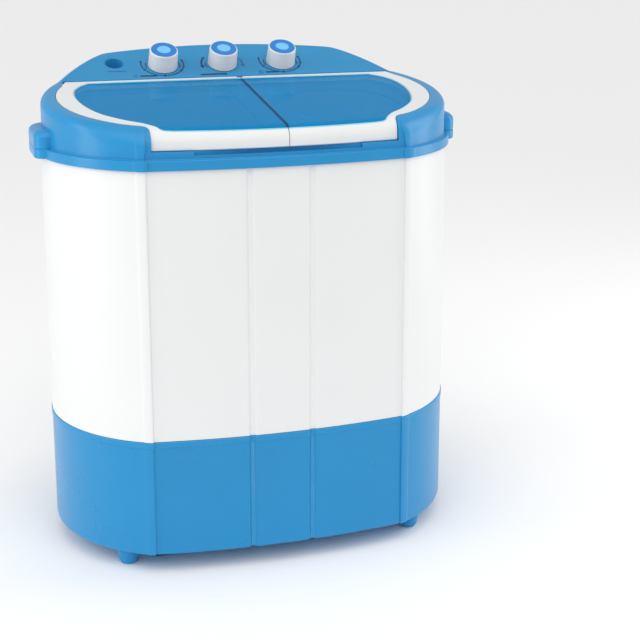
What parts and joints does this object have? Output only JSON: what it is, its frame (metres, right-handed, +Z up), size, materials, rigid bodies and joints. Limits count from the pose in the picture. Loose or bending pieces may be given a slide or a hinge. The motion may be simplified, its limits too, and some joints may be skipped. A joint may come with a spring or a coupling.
{
  "type": "twin tub washing machine",
  "caption": "Compact portable twin tub washing machine with a wash tub, a spin dryer, tinted hinged lids and turning control knobs.",
  "frame": {"origin": "on the floor, at the middle of the machine's bounding box", "axes": "+Z up, -Y is the front with the lids' lip, +X is the spin dryer side"},
  "size_m": [0.583, 0.372, 0.669],
  "materials": {
    "blue_shell": "moulded blue plastic, soft gloss",
    "white_shell": "moulded white plastic, soft gloss",
    "panel_blue": "darker blue plastic",
    "window_blue": "tinted see-through blue plastic",
    "knob_white": "white plastic, satin",
    "cap_blue": "blue plastic insert",
    "tub_white": "pale moulded polypropylene",
    "grey_plastic": "grey plastic",
    "black_rubber": "black rubber",
    "steel": "plain steel",
    "motor_metal": "painted motor housing"
  },
  "bodies": {
    "casing": {"base": "blue_shell", "cabinet": "white_shell", "top_cover": "blue_shell", "control_panel": "panel_blue", "water_inlet_funnel": "panel_blue", "rear_cover": "grey_plastic", "rear_screw_left": "steel", "rear_screw_right": "steel", "foot_front_left": "blue_shell", "foot_front_right": "blue_shell", "foot_rear_left": "blue_shell", "foot_rear_right": "blue_shell", "wash_timer": "grey_plastic", "selector_switch": "grey_plastic", "spin_timer": "grey_plastic", "wash_tub": "tub_white", "lint_filter": "tub_white", "wash_bearing_housing": "grey_plastic", "drive_belt": "black_rubber", "wash_motor": "motor_metal", "spin_outer_tub": "tub_white", "spin_seal_bellows": "black_rubber", "spin_motor": "motor_metal", "spring_front": "steel", "spring_rear_left": "steel", "spring_rear_right": "steel", "drain_valve_body": "grey_plastic", "tub_drain_pipe": "black_rubber", "spin_drain_pipe": "black_rubber", "outlet_pipe": "black_rubber", "drain_outlet": "grey_plastic", "power_cord_gland": "black_rubber", "capacitor": "grey_plastic", "lid_switch": "grey_plastic", "brake_cable": "black_rubber"},
    "wash_lid": {"wash_lid_frame": "white_shell", "wash_lid_window": "window_blue", "wash_lid_pin": "steel"},
    "spin_lid": {"spin_lid_frame": "white_shell", "spin_lid_window": "window_blue", "spin_lid_pin": "steel"},
    "wash_timer_dial": {"wash_timer_knob": "knob_white", "wash_timer_knob_cap": "cap_blue", "wash_timer_shaft": "steel"},
    "selector_dial": {"selector_knob": "knob_white", "selector_knob_cap": "cap_blue", "selector_shaft": "steel"},
    "spin_timer_dial": {"spin_timer_knob": "knob_white", "spin_timer_knob_cap": "cap_blue", "spin_timer_shaft": "steel"},
    "drain_lift": {"drain_plunger": "grey_plastic"},
    "pulsator_drive": {"pulsator": "panel_blue", "pulsator_screw": "steel", "pulsator_shaft": "steel", "wash_pulley": "grey_plastic"},
    "motor_drive": {"motor_pulley": "steel"},
    "spinner": {"spin_basket": "tub_white", "spin_shaft": "steel", "brake_drum": "steel"},
    "brake": {"brake_lever": "steel"}
  },
  "joints": [
    {"name": "wash_lid_hinge", "type": "hinge", "parent": "casing", "child": "wash_lid", "pos_m": [0, 0.09, 0.61728], "axis": [-1, 0, 0], "range_deg": [0, 96]},
    {"name": "spin_lid_hinge", "type": "hinge", "parent": "casing", "child": "spin_lid", "pos_m": [0, 0.09, 0.61728], "axis": [-1, 0, 0], "range_deg": [0, 96]},
    {"name": "wash_timer_turn", "type": "hinge", "parent": "casing", "child": "wash_timer_dial", "pos_m": [-0.0905, 0.1245, 0.63661], "axis": [0, 0.4472, -0.8944], "range_deg": [0, 285]},
    {"name": "selector_turn", "type": "hinge", "parent": "casing", "child": "selector_dial", "pos_m": [-0.004, 0.1245, 0.63661], "axis": [0, 0.4472, -0.8944], "range_deg": [0, 90]},
    {"name": "spin_timer_turn", "type": "hinge", "parent": "casing", "child": "spin_timer_dial", "pos_m": [0.0825, 0.1245, 0.63661], "axis": [0, 0.4472, -0.8944], "range_deg": [0, 285]},
    {"name": "drain_lift_slide", "type": "slide", "parent": "casing", "child": "drain_lift", "axis": [0, 0, 1], "range_m": [0, 0.0121]},
    {"name": "pulsator_spin", "type": "hinge", "parent": "casing", "child": "pulsator_drive", "pos_m": [-0.106, -0.036, 0.2], "axis": [0, 0, 1], "continuous": true},
    {"name": "motor_spin", "type": "hinge", "parent": "casing", "child": "motor_drive", "pos_m": [0.002, -0.07, 0.13], "axis": [0, 0, 1], "continuous": true},
    {"name": "basket_spin", "type": "hinge", "parent": "casing", "child": "spinner", "pos_m": [0.133, -0.032, 0.3], "axis": [0, 0, 1], "continuous": true},
    {"name": "brake_turn", "type": "hinge", "parent": "casing", "child": "brake", "pos_m": [0.173, 0, 0.19], "axis": [0, 0, 1], "range_deg": [0, 3]}
  ],
  "couplings": [
    {"joint": "drain_lift_slide", "follows": "selector_turn", "m_per_rad": 0.0076394},
    {"joint": "motor_spin", "follows": "pulsator_spin", "ratio": 3.4667},
    {"joint": "brake_turn", "follows": "spin_lid_hinge", "ratio": 0.030729}
  ]
}
